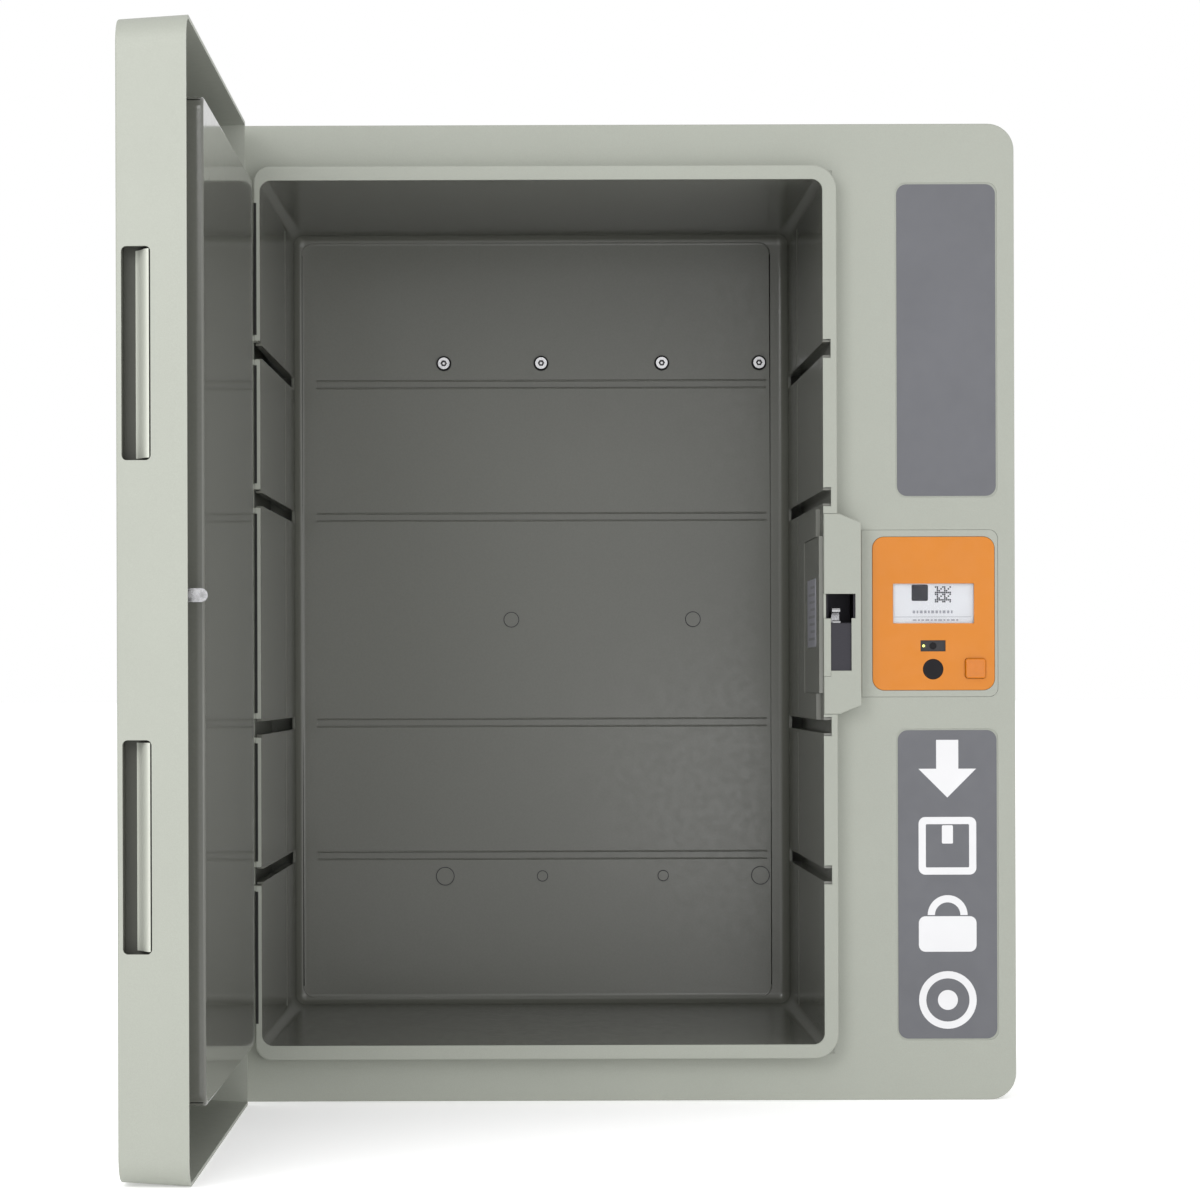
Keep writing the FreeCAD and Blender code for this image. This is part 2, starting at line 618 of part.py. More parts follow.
def door_inner_panel():
    """The dark plug that fills the mouth when the door is shut, open towards the door's face."""
    body = new_body("door_inner_panel", True)
    block(body, "front", f"{DOOR_FACE} + door_skin", "door_thick - door_skin + door_gap + plug_deep",
          box_loop("plug_left", "plug_right", "plug_low", "plug_high"))
    soften(body, "mouth_corner", lambda b: runs_along(b, "Y", 40))
    rear = SIZES["front"] + SIZES["plug_deep"]
    soften(body, "2", lambda b: at_front(b, rear))
    carve(body, "front", f"{DOOR_FACE} + door_skin",
          "door_thick - door_skin + door_gap + plug_deep - plug_skin",
          box_loop("plug_left + plug_skin", "plug_right - plug_skin", "plug_low + plug_skin",
                   "plug_high - plug_skin"))


def grip_cups():
    """Dark finger cups behind the two slots of the free edge."""
    for name, side in (("upper", "+"), ("lower", "-")):
        middle = f"mid {side} grip_mid"
        body = new_body(f"{name}_grip_cup", True)
        skirt = "door_right - door_draft - door_skin"
        block(body, "side", f"{skirt} - grip_deep", "grip_deep",
              box_loop(f"{DOOR_FACE} + door_skin + 0.1", f"{DOOR_FACE} + grip_start + grip_wide + 2",
                       f"{middle} - grip_tall / 2 - 2", f"{middle} + grip_tall / 2 + 2"))
        carve(body, "side", f"{skirt} - grip_deep + 1.6", "grip_deep",
              box_loop(f"{DOOR_FACE} + grip_start + 0.6", f"{DOOR_FACE} + grip_start + grip_wide",
                       f"{middle} - grip_tall / 2", f"{middle} + grip_tall / 2"))


def door_striker():
    """A steel tongue on a foot, with a cross pin for the lock's claw."""
    base = f"{DOOR_FACE} + door_skin"
    tip = "front + strike_in"
    foot = plain_box("tongue_x - 9", "tongue_x + tongue_thick + 9", base, f"{base} + 2.5",
                     "strike_z - 14", "strike_z + 14")
    arm = plain_box("tongue_x", "tongue_x + tongue_thick", base, tip, "strike_z - tongue_half",
                    "strike_z + tongue_half")
    nose = rod("X", "tongue_x", tip, "strike_z", "tongue_half", "tongue_thick")
    pin = rod("X", "claw_x - 0.8", tip, "strike_z", "strike_pin", "tongue_x - claw_x + 1.8")
    listed(fused([foot, arm, nose, pin]), "door_striker", True)


# ---------------------------------------------------------------- lock

CLAW_Y = "front + claw_back"
CLAW_Z = "strike_z - claw_drop"
PAWL_Y = "front + claw_back + pawl_arm"
PAWL_Z = "strike_z - claw_drop - pawl_drop"


def cover_outline(inset):
    """The lock cover's sloped outline, drawn in by an inset."""
    return [(f"mouth_right + {inset}", f"cover_low + {inset}"),
            ("mouth_right + 14", f"cover_low + {inset}"),
            (f"cover_right - {inset}", f"cover_low + cover_slope + {inset}"),
            (f"cover_right - {inset}", f"cover_high - cover_slope - {inset}"),
            ("mouth_right + 14", f"cover_high - {inset}"),
            (f"mouth_right + {inset}", f"cover_high - {inset}")]


def lock_cover():
    """The light cover on the rim, with the lock's window and the slot below it."""
    body = new_body("lock_cover")
    block(body, "front", "front - proud - 0.5", "proud + 4", cover_outline("0"))
    soften(body, "edge_round", lambda b: at_front(b, RIM_Y - 0.5))
    carve(body, "front", "front - proud + cover_skin", "proud + 6", cover_outline("cover_skin"))
    carve(body, "front", "front - proud + lip - 0.2", "proud + 6",
          box_loop("mouth_right - 1", "mouth_right + liner_skin + 0.3", "cover_low - 1", "cover_high + 1"))
    carve(body, "front", "front - proud - 1", "cover_skin + 6",
          box_loop("mouth_right + 2", "window_right", "window_low", "window_high"),
          box_loop("mouth_right + strip_wide", "slot_right", "slot_low", "window_low"))
    carve(body, "front", "front - proud - 1", "2.2",
          box_loop("mouth_right - 1", "mouth_right + strip_wide", "strip_low - 0.2", "window_high + 0.2"))


def lock_insert():
    """A narrow strip let into the cover's inner edge beside the lock's window."""
    body = new_body("lock_insert")
    block(body, "front", "front - proud - 0.5", "1.7",
          box_loop("mouth_right", "mouth_right + strip_wide", "strip_low", "strip_high"))
    soften(body, "0.6", lambda b: at_front(b, RIM_Y - 0.5))


def lock_case():
    """The pressed steel case of the lock, open at the window."""
    near_face = "front - proud + case_near"
    case = plain_box("case_left", "case_right", near_face, "front + case_deep", "case_low", "case_high")
    inside = plain_box("case_left + case_skin", "case_right - case_skin", f"{near_face} + case_skin",
                       "front + case_deep - case_skin", "case_low + case_skin", "case_high - case_skin")
    window = plain_box("case_left - 1", "window_right - 1.6", "front - proud + 3", "front - proud + 7",
                       "window_low - 4", "window_high + 2")
    slit = plain_box("case_left - 1", "case_left + 2", "front - proud + 3", "front + 12",
                     "window_low", "window_high")
    listed(less(case, [inside, window, slit]), "lock_case")


def slot_plate():
    """The dark plate that shows through the cover's lower slot."""
    plate = plain_box("case_left + 1", "slot_right + 1", "front - proud + cover_skin + 0.3",
                      "front - proud + 4.2", "slot_low - 2", "window_low - 5")
    listed(plate, "slot_plate")


def latch_claw():
    """The rotary claw, drawn with its slot upright and turned to where it waits for the door."""
    body = new_body("latch_claw")
    disc = circle_sketch(body, "side", "claw_x", [("0", "0", "claw_disc")])
    pad(body, "side", disc, "claw_thick")
    block(body, "side", "claw_x", "claw_thick",
          box_loop("-slot_half - jaw", "slot_half + jaw", "0", "claw_reach"))
    carve(body, "side", "claw_x", "claw_thick",
          box_loop("-slot_half", "slot_half", "claw_disc + 1.5", "claw_reach + 1"))
    soften(body, "1.6", lambda b: runs_along(b, "X", 5) and near(b.ZMax, SIZES["claw_reach"]))
    bore = circle_sketch(body, "side", "claw_x", [("0", "0", "claw_pin + fit")])
    pocket(body, "side", bore, "claw_thick")
    for angle in ("30.5", "claw_open"):
        carve(body, "side", "claw_x", "claw_thick", notch_loop(angle))
    body.Placement = FreeCAD.Placement(FreeCAD.Vector(0, 0, 0),
                                       FreeCAD.Rotation(FreeCAD.Vector(1, 0, 0), SIZES["claw_open"]))
    bind(body, y=CLAW_Y, z=CLAW_Z)


def notch_loop(angle):
    """A pawl notch in the claw's disc, facing straight down when the claw is at an angle."""
    corners = [("10.6", "-3"), ("16", "-3"), ("16", "3"), ("10.6", "3")]
    return [(f"-({far}) * sin({angle}) - ({side}) * cos({angle})",
             f"-({far}) * cos({angle}) + ({side}) * sin({angle})") for far, side in corners]


def pawl():
    """The lever that holds the claw, drawn level and turned down by its release angle."""
    arm = [("4", "-3.5"), ("4", "3.5"), ("-14", "3"), ("-14", "8.6"),
           ("-18.2", "8.6"), ("-18.2", "-1"), ("-14", "-3.5")]
    body = new_body("pawl")
    block(body, "side", "claw_x + 1", "claw_thick - 2", arm)
    hub = circle_sketch(body, "side", "claw_x + 1", [("0", "0", "5.5")])
    pad(body, "side", hub, "claw_thick - 2")
    bore = circle_sketch(body, "side", "claw_x + 1", [("0", "0", "pawl_pin + fit")])
    pocket(body, "side", bore, "claw_thick - 2")
    body.Placement = FreeCAD.Placement(FreeCAD.Vector(0, 0, 0),
                                       FreeCAD.Rotation(FreeCAD.Vector(1, 0, 0), SIZES["pawl_open"]))
    bind(body, y=PAWL_Y, z=PAWL_Z)


def lock_pins():
    """The pivots of the claw and the pawl, across the lock's case."""
    listed(rod("X", "pin_left", CLAW_Y, CLAW_Z, "claw_pin", "pin_long"), "claw_pivot")
    listed(rod("X", "pin_left", PAWL_Y, PAWL_Z, "pawl_pin", "pin_long"), "pawl_pivot")


def solenoid():
    """The release coil below the pawl and the plunger that runs in it."""
    middle = "claw_x + claw_thick / 2"
    winding = rod("Z", middle, CLAW_Y, "coil_low", "coil_radius", "coil_tall")
    bore = rod("Z", middle, CLAW_Y, "coil_low - 1", "coil_bore", "coil_tall + 2")
    listed(less(winding, [bore]), "release_coil")
    shaft = rod("Z", middle, CLAW_Y, "plunger_low", "plunger_radius", "plunger_long")
    cap = rod("Z", middle, CLAW_Y, "plunger_low + plunger_long", "4", "2")
    listed(fused([shaft, cap]), "release_plunger")


# ---------------------------------------------------------------- control module

def module_bezel():
    """The light surround of the control panel, flush with the front."""
    body = new_body("module_bezel")
    block(body, "front", "front", "plate",
          box_loop("module_left + 1.2", "module_right", "module_low", "module_high"))
    soften(body, "module_corner", lambda b: runs_along(b, "Y", 2) and b.XMin > 300)
    soften(body, "0.4", lambda b: at_front(b, FRONT))
    carve(body, "front", "front - 1", "plate + 2",
          box_loop("panel_left - crack", "panel_right + crack", "panel_low - crack", "panel_high + crack"))
    soften(body, "panel_corner + crack", lambda b: runs_along(b, "Y", 2) and panel_corner_edge(b))


def panel_corner_edge(box):
    """True for the four corner edges of the panel's opening."""
    gap = SIZES["crack"]
    across = near(box.XMin, SIZES["panel_left"] - gap) or near(box.XMin, SIZES["panel_right"] + gap)
    upward = near(box.ZMin, SIZES["panel_low"] - gap) or near(box.ZMin, SIZES["panel_high"] + gap)
    return across and upward


def faceplate():
    """The coloured panel with its screen, scanner, sensor and button openings."""
    body = new_body("faceplate")
    block(body, "front", "front - panel_proud", "panel_thick",
          box_loop("panel_left", "panel_right", "panel_low", "panel_high"))
    soften(body, "panel_corner", lambda b: runs_along(b, "Y", 2))
    soften(body, "0.5", lambda b: at_front(b, FRONT - SIZES["panel_proud"]))
    carve(body, "front", "front - 1", "panel_thick + 2",
          box_loop("screen_left", "screen_right", "screen_low", "screen_high"),
          box_loop("scan_left", "scan_right", "scan_low", "scan_high"),
          box_loop("button_left - button_play", "button_right + button_play",
                   "button_low - button_play", "button_high + button_play"))
    soften(body, "3", lambda b: runs_along(b, "Y", 2) and 300 < b.XMin < 330 and 375 < b.ZMin < 400)
    sketch = circle_sketch(body, "front", "front - 1", [("sensor_x", "sensor_z", "sensor_radius")])
    pocket(body, "front", sketch, "panel_thick + 2")


def screen():
    """The clear window and the paper-white display behind it."""
    window = plain_box("screen_left", "screen_right", "front + 0.3", "front + 1.5",
                       "screen_low", "screen_high")
    listed(window, "display_window")
    display = plain_box("screen_left - 3", "screen_right + 3", "front + 2.7", "front + 4", "screen_low - 3",
                        "screen_high + 3")
    listed(display, "display_panel")


def scanner():
    """The code reader: its black block, lens and status lamp, and the round sensor beside it."""
    middle = "(scan_low + scan_high) / 2"
    case = plain_box("scan_left", "scan_right", "front + 1", "front + 12", "scan_low", "scan_high")
    eye = rod("Y", "sensor_x", "front", middle, "3.3", "4")
    lamp = rod("Y", "scan_left + 3", "front", middle, "1.2", "3")
    listed(less(case, [eye, lamp]), "scanner_housing")
    listed(rod("Y", "sensor_x", "front + 1.4", middle, "3.2", "2.4"), "scanner_lens")
    listed(rod("Y", "scan_left + 3", "front + 1.4", middle, "1.15", "1.4"), "status_lamp")
    window = rod("Y", "sensor_x", "front - 0.2", "sensor_z", "sensor_radius - 0.05", "4")
    listed(filleted(window, 0.5, lambda b: at_front(b, FRONT - 0.2)), "sensor_window")


def call_button():
    """The raised button, with a stem that slides through the module's tray."""
    body = new_body("call_button")
    block(body, "front", "front - panel_proud - button_proud", "button_proud + 5",
          box_loop("button_left", "button_right", "button_low", "button_high"))
    soften(body, "2.8", lambda b: runs_along(b, "Y", 2))
    soften(body, "1.4", lambda b: at_front(b, FRONT - SIZES["panel_proud"] - SIZES["button_proud"]))


def electronics():
    """The tray behind the panel, with its controller board and battery pack."""
    tray = plain_box("module_left + 2.5", "module_right - 2.5", "front + plate + 0.2", "front + 36",
                     "module_low + 3", "module_high - 3")
    room = plain_box("module_left + 4.5", "module_right - 4.5", "front + plate", "front + 34",
                     "module_low + 5", "module_high - 5")
    listed(less(tray, [room]), "module_tray")
    listed(plain_box("module_left + 8", "module_right - 8", "front + 14", "front + 15.6", "module_low + 8",
                     "module_high - 8"), "controller_board")
    places = [f"module_left + {22 + 18 * k}" for k in range(4)]
    cells = [rod("Z", x, "front + 25", "module_low + 30", "7.2", "50.5") for x in places]
    listed(group(cells), "battery_cells")


def labels():
    """The two dark labels in their recesses."""
    for side in ("upper", "lower"):
        body = new_body(f"{side}_label")
        block(body, "front", "front + recess - 0.4", "0.4",
              box_loop("label_left", "label_right", f"{side}_low", f"{side}_high"))
        soften(body, "label_corner", lambda b: runs_along(b, "Y", 0.3))


# ---------------------------------------------------------------- everything

def build():
    """Makes every piece, cabinet first and door last."""
    front_frame()
    rim_seals()
    outer_shell()
    inner_liner()
    wall_screws()
    screw_washers()
    wall_plugs()
    service_housing()
    service_cover()
    info_label()
    for name, height in HINGES.items():
        leaf(f"cabinet_leaf_{name}", height, False)
        leaf(f"door_leaf_{name}", height, True)
    hinge_pins()
    hinge_screws("cabinet_leaf_screws", False)
    hinge_screws("door_leaf_screws", True)
    lock_cover()
    lock_insert()
    lock_case()
    slot_plate()
    latch_claw()
    pawl()
    lock_pins()
    solenoid()
    module_bezel()
    faceplate()
    screen()
    scanner()
    call_button()
    electronics()
    labels()
    door_shell()
    door_inner_panel()
    grip_cups()
    door_striker()


def swing_door_open():
    """Turns every door piece about the hinge pins, from shut to a right angle."""
    pivot = FreeCAD.Vector(SIZES["hinge_x"], SIZES["hinge_y"], 0)
    turn = FreeCAD.Rotation(FreeCAD.Vector(0, 0, 1), -90)
    for item in door_parts:
        item.Placement = FreeCAD.Placement(FreeCAD.Vector(0, 0, 0), turn, pivot)


def write_out():
    """Checks every object and writes one STEP file for each piece."""
    document.recompute()
    for item in document.Objects:
        if "Invalid" in item.State or "Error" in item.State:
            raise RuntimeError(f"{item.Label} did not recompute: {item.State}")
    os.makedirs("parts", exist_ok=True)
    for item in parts:
        if item.Shape.isNull() or not item.Shape.isValid() or not item.Shape.Solids:
            raise RuntimeError(f"{item.Label} has no valid solid")
    for item in parts:
        item.Shape.exportStep(f"parts/{item.Label}.step")


build()
swing_door_open()
write_out()
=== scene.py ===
import json
import math

import bmesh
import bpy
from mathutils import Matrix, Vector


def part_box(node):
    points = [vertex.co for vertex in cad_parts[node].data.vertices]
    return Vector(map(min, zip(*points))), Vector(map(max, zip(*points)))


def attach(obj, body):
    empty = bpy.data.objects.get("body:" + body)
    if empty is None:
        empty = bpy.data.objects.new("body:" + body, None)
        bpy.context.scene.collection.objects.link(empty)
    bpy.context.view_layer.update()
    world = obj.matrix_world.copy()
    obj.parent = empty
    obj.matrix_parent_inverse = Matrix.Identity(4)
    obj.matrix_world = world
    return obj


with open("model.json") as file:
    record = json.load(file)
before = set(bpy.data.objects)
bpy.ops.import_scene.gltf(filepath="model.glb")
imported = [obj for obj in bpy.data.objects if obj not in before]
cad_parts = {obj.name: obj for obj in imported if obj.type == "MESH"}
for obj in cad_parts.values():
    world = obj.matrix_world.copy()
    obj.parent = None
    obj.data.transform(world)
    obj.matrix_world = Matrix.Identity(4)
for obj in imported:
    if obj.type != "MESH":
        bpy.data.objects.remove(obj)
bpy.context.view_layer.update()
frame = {"nodes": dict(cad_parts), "record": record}

# Metres, in the frame's own axes: X right, Y to the rear, Z up.
MM = 0.001


# ---------------------------------------------------------------- materials

def linear(red, green, blue):
    """A screen colour from 0 to 255 as the linear colour that shaders take."""
    shares = [value / 255 for value in (red, green, blue)]
    return tuple(((c + 0.055) / 1.055) ** 2.4 if c > 0.04045 else c / 12.92 for c in shares)


EDGE_SHEEN_REACH = 1.2 * MM         # how far the painted edge highlight reaches from an edge
EDGE_HIGHLIGHT = 1.35            # how much lighter the painted highlight makes an edge than its moulding
FINE_RELIEF = 0.1 * MM       # the height of film's and metal's faint texture


class Nodes:
    """A material's node tree, with a short way to add and link nodes."""

    def __init__(self, name):
        self.material = bpy.data.materials.new(name)
        self.material.use_nodes = True
        self.tree = self.material.node_tree
        self.shader = self.tree.nodes["Principled BSDF"]
        place = self.add("ShaderNodeTexCoord")
        self.place = place.outputs["Object"]

    def add(self, kind, **settings):
        """A node with its plain properties set."""
        node = self.tree.nodes.new(kind)
        for key, value in settings.items():
            setattr(node, key, value)
        return node

    def link(self, source, target):
        """Joins an output to an input."""
        self.tree.links.new(source, target)

    def noise(self, scale, detail=2.0, rough=0.5, stretch=None):
        """Smooth noise over the object, in features per metre."""
        node = self.add("ShaderNodeTexNoise")
        node.inputs["Scale"].default_value = scale
        node.inputs["Detail"].default_value = detail
        node.inputs["Roughness"].default_value = rough
        if stretch:
            mapping = self.add("ShaderNodeMapping")
            mapping.inputs["Scale"].default_value = stretch
            self.link(self.place, mapping.inputs["Vector"])
            self.link(mapping.outputs["Vector"], node.inputs["Vector"])
        else:
            self.link(self.place, node.inputs["Vector"])
        return node.outputs["Fac"]

    def grain(self, scale):
        """Rounded cells, as of a spark-eroded mould."""
        node = self.add("ShaderNodeTexVoronoi", feature="SMOOTH_F1")
        node.inputs["Scale"].default_value = scale
        self.link(self.place, node.inputs["Vector"])
        return node.outputs["Distance"]

    def spread(self, factor, low, high, start=0.35, end=0.65):
        """A value remapped to run from low to high."""
        node = self.add("ShaderNodeMapRange")
        node.inputs["From Min"].default_value = start
        node.inputs["From Max"].default_value = end
        node.inputs["To Min"].default_value = low
        node.inputs["To Max"].default_value = high
        self.link(factor, node.inputs["Value"])
        return node.outputs["Result"]

    def blend(self, factor, first, second):
        """A colour between two, by a factor."""
        node = self.add("ShaderNodeMix", data_type="RGBA")
        self.link(factor, node.inputs["Factor"])
        node.inputs["A"].default_value = (*first, 1)
        node.inputs["B"].default_value = (*second, 1)
        return node.outputs["Result"]

    def bump(self, height, strength, distance):
        """Surface relief from a height, at most as deep as a distance."""
        node = self.add("ShaderNodeBump")
        node.inputs["Strength"].default_value = strength
        node.inputs["Distance"].default_value = distance
        self.link(height, node.inputs["Height"])
        return node.outputs["Normal"]

    def edges(self, amount):
        """A factor that rises on edges, where a painted highlight lightens a moulding."""
        geometry = self.add("ShaderNodeNewGeometry")
        bevel = self.add("ShaderNodeBevel", samples=4)
        bevel.inputs["Radius"].default_value = EDGE_SHEEN_REACH
        turn = self.add("ShaderNodeVectorMath", operation="DOT_PRODUCT")
        self.link(geometry.outputs["Normal"], turn.inputs[0])
        self.link(bevel.outputs["Normal"], turn.inputs[1])
        return self.spread(turn.outputs["Value"], amount, 0, 0.75, 0.99)


def shade(color, factor):
    """A colour made lighter or darker."""
    return tuple(min(1.0, c * factor) for c in color)


def moulded(name, color, rough, grain_scale, grain_depth, variation, specular, edge_sheen):
    """Moulded plastic: fine mould grain, slight flow mottling and a painted highlight on its edges."""
    n = Nodes(name)
    mottle = n.noise(scale=9, detail=4, rough=0.6)
    speck = n.noise(scale=grain_scale * 0.7, detail=1)
    speckle = n.blend(n.spread(speck, 0, 1, 0.3, 0.7), (0.95, 0.95, 0.95), (1.0, 1.0, 1.0))
    base = n.blend(n.spread(mottle, 0, 1), shade(color, 1 - variation), shade(color, 1 + variation))
    tinted = n.add("ShaderNodeMix", data_type="RGBA", blend_type="MULTIPLY")
    tinted.inputs["Factor"].default_value = 1.0
    n.link(base, tinted.inputs["A"])
    n.link(speckle, tinted.inputs["B"])
    # Painted highlight: the colour is made lighter on edges, as if they caught the light.
    edged = n.add("ShaderNodeMix", data_type="RGBA")
    n.link(n.edges(edge_sheen), edged.inputs["Factor"])
    n.link(tinted.outputs["Result"], edged.inputs["A"])
    edged.inputs["B"].default_value = (*shade(color, EDGE_HIGHLIGHT), 1)
    n.link(edged.outputs["Result"], n.shader.inputs["Base Color"])
    n.link(n.spread(n.noise(scale=120), rough - 0.02, rough + 0.03), n.shader.inputs["Roughness"])
    n.shader.inputs["Specular IOR Level"].default_value = specular
    n.link(n.bump(n.grain(grain_scale), 0.35, grain_depth), n.shader.inputs["Normal"])
    return n.material


def metal(name, color, rough, brushed=(4, 4, 4)):
    """Plated or brushed metal, with streaks along one axis or fine mottling."""
    n = Nodes(name)
    streak = n.noise(scale=60, detail=3, rough=0.6, stretch=brushed)
    tone = n.blend(n.spread(streak, 0, 1), shade(color, 0.86), shade(color, 1.08))
    n.link(tone, n.shader.inputs["Base Color"])
    n.shader.inputs["Metallic"].default_value = 1.0
    n.link(n.spread(streak, rough - 0.06, rough + 0.08), n.shader.inputs["Roughness"])
    n.link(n.bump(streak, 0.2, FINE_RELIEF), n.shader.inputs["Normal"])
    return n.material


def film(name, color, rough, variation=0.03):
    """A printed film or label: smooth, with a faint orange-peel and small colour drift."""
    n = Nodes(name)
    drift = n.noise(scale=14, detail=3)
    tone = n.blend(n.spread(drift, 0, 1), shade(color, 1 - variation), shade(color, 1 + variation))
    n.link(tone, n.shader.inputs["Base Color"])
    n.link(n.spread(n.noise(scale=90), rough - 0.04, rough + 0.05), n.shader.inputs["Roughness"])
    n.link(n.bump(n.noise(scale=700, detail=1), 0.12, FINE_RELIEF), n.shader.inputs["Normal"])
    return n.material


def clear(name, tint, rough, ior):
    """A clear cover with a clean gloss."""
    n = Nodes(name)
    tone = n.blend(n.spread(n.noise(scale=25), 0, 1), shade(tint, 0.97), tint)
    n.link(tone, n.shader.inputs["Base Color"])
    n.shader.inputs["Transmission Weight"].default_value = 1.0
    n.shader.inputs["IOR"].default_value = ior
    n.link(n.spread(n.noise(scale=50), rough * 0.7, rough * 1.3 + 0.01), n.shader.inputs["Roughness"])
    return n.material


def lamp_glow(name, color, power):
    """A small lit lens."""
    n = Nodes(name)
    tone = n.blend(n.spread(n.noise(scale=900, detail=1), 0, 1), shade(color, 0.8), color)
    n.link(tone, n.shader.inputs["Base Color"])
    n.shader.inputs["Emission Color"].default_value = (*color, 1)
    n.shader.inputs["Emission Strength"].default_value = power
    n.shader.inputs["Roughness"].default_value = 0.3
    return n.material


# Grain scales are in cells per metre. The last figure of each is the strength of its painted edge
# highlight.
LIGHT_SHELL = moulded("light_shell", linear(154, 157, 148), rough=0.5,
                      grain_scale=1500, grain_depth=0.15 * MM,
                      variation=0.012, specular=0.4, edge_sheen=0.25)
DARK_LINER = moulded("dark_liner", linear(104, 105, 98), rough=0.2,
                     grain_scale=900, grain_depth=0.006 * MM,
                     variation=0.012, specular=0.45, edge_sheen=0.55)
DOOR_PANEL = moulded("door_panel", linear(94, 95, 89), rough=0.1,
                     grain_scale=900, grain_depth=0.004 * MM,
                     variation=0.012, specular=0.55, edge_sheen=0.6)
CUP = moulded("grip_cup", linear(70, 71, 65), rough=0.5,
              grain_scale=1200, grain_depth=0.08 * MM,
              variation=0.03, specular=0.3, edge_sheen=0.2)
# Painted light: the shell's plastic painted lighter, as the ramp's slope looks when lit.
LIT_RAMP = moulded("grip_ramp", linear(190, 193, 183), rough=0.5,
               grain_scale=1500, grain_depth=0.1 * MM,
               variation=0.012, specular=0.4, edge_sheen=0.25)
BLACK_RUBBER = moulded("black_rubber", linear(28, 28, 28), rough=0.7,
                       grain_scale=1200, grain_depth=0.2 * MM,
                       variation=0.1, specular=0.3, edge_sheen=0.05)
BLACK_PLASTIC = moulded("black_plastic", linear(32, 30, 34), rough=0.45,
                        grain_scale=1500, grain_depth=0.1 * MM,
                        variation=0.06, specular=0.4, edge_sheen=0.1)
BUTTON = moulded("orange_button", linear(192, 108, 4), rough=0.18,
                 grain_scale=400, grain_depth=0.03 * MM,
                 variation=0.03, specular=0.35, edge_sheen=0.3)
DARK_GLASS = moulded("dark_glass", linear(20, 18, 22), rough=0.3,
                     grain_scale=300, grain_depth=0.01 * MM,
                     variation=0.1, specular=0.12, edge_sheen=0.0)

SLATE = film("slate_label", linear(90, 91, 96), rough=0.5)
ORANGE = film("orange_panel", linear(192, 113, 0), rough=0.5, variation=0.02)
WHITE_FILM = film("white_label", linear(168, 168, 178), rough=0.45)
PAPER = film("paper_display", linear(216, 216, 217), rough=0.6, variation=0.015)
INK = film("display_ink", linear(38, 38, 44), rough=0.6, variation=0.1)
FAINT_INK = film("faint_ink", linear(150, 150, 156), rough=0.6, variation=0.1)
WHITE_PRINT = film("white_print", linear(212, 212, 214), rough=0.45, variation=0.02)
BOARD = film("green_board", linear(16, 78, 44), rough=0.35, variation=0.12)
CELLS = film("battery", linear(52, 54, 62), rough=0.35, variation=0.08)

CLEAR = clear("clear_window", (0.97, 0.98, 1.0), rough=0.02, ior=1.1)
LAMP = lamp_glow("lamp", linear(225, 235, 110), power=2.0)

BRIGHT_STEEL = metal("bright_steel", (0.42, 0.42, 0.43), rough=0.24)
HINGE_STEEL = metal("hinge_steel", (0.5, 0.5, 0.51), rough=0.32, brushed=(2, 2, 90))
DARK_STEEL = metal("dark_steel", (0.042, 0.041, 0.047), rough=0.45, brushed=(3, 3, 60))
COPPER = metal("copper_coil", (0.45, 0.17, 0.06), rough=0.35, brushed=(2, 2, 300))

NODE_MATERIALS = {"door_inner_panel": DOOR_PANEL, "upper_grip_cup": CUP, "lower_grip_cup": CUP}

SLOT_MATERIALS = {
    "light_shell": LIGHT_SHELL, "dark_liner": DARK_LINER, "black_rubber": BLACK_RUBBER,
    "black_plastic": BLACK_PLASTIC, "dark_glass": DARK_GLASS, "orange_button": BUTTON,
    "white_label": WHITE_FILM, "slate_label": SLATE, "orange_panel": ORANGE, "paper_display": PAPER,
    "green_board": BOARD, "battery": CELLS, "clear_window": CLEAR, "lamp": LAMP,
    "bright_steel": BRIGHT_STEEL, "hinge_steel": HINGE_STEEL, "dark_steel": DARK_STEEL,
    "copper_coil": COPPER,
}


def dress_nodes():
    """Gives every CAD node the full material of its slot, or one of its own."""
    for part in frame["record"]["subparts"]:
        mesh = frame["nodes"][part["node"]].data
        material = NODE_MATERIALS.get(part["node"], SLOT_MATERIALS[part["material_slot"]])
        if not mesh.materials:
            mesh.materials.append(material)
        for index in range(len(mesh.materials)):
            mesh.materials[index] = material


# ---------------------------------------------------------------- meshes

SHARP_ANGLE = math.radians(35)
TUBE_SIDES = 10


def piece(name, bm, material, body, smooth=True):
    """A finished mesh object that rides on a body."""
    mesh = bpy.data.meshes.new(name)
    bmesh.ops.recalc_face_normals(bm, faces=bm.faces)
    bm.to_mesh(mesh)
    bm.free()
    mesh.materials.append(material)
    item = bpy.data.objects.new(name, mesh)
    bpy.context.scene.collection.objects.link(item)
    if smooth:
        mesh.shade_smooth()
        mesh.set_sharp_from_angle(angle=SHARP_ANGLE)
    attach(item, body)


def rounded_loop(left, right, low, high, radius, steps=6):
    """The points of a rounded rectangle, anticlockwise from its lower right corner."""
    centres = [(right - radius, low + radius, -90), (right - radius, high - radius, 0),
               (left + radius, high - radius, 90), (left + radius, low + radius, 180)]
    points = []
    for x, z, start in centres:
        for k in range(steps + 1):
            angle = math.radians(start + 90 * k / steps)
            points.append((x + radius * math.cos(angle), z + radius * math.sin(angle)))
    return points


def add_prism(bm, loop, front, rear, place):
    """A solid between two parallel copies of an outline, put in space by place(u, v, depth)."""
    near = [bm.verts.new(place(u, v, front)) for u, v in loop]
    far = [bm.verts.new(place(u, v, rear)) for u, v in loop]
    bm.faces.new(near)
    bm.faces.new(list(reversed(far)))
    for k in range(len(loop)):
        after = (k + 1) % len(loop)
        bm.faces.new((near[k], far[k], far[after], near[after]))


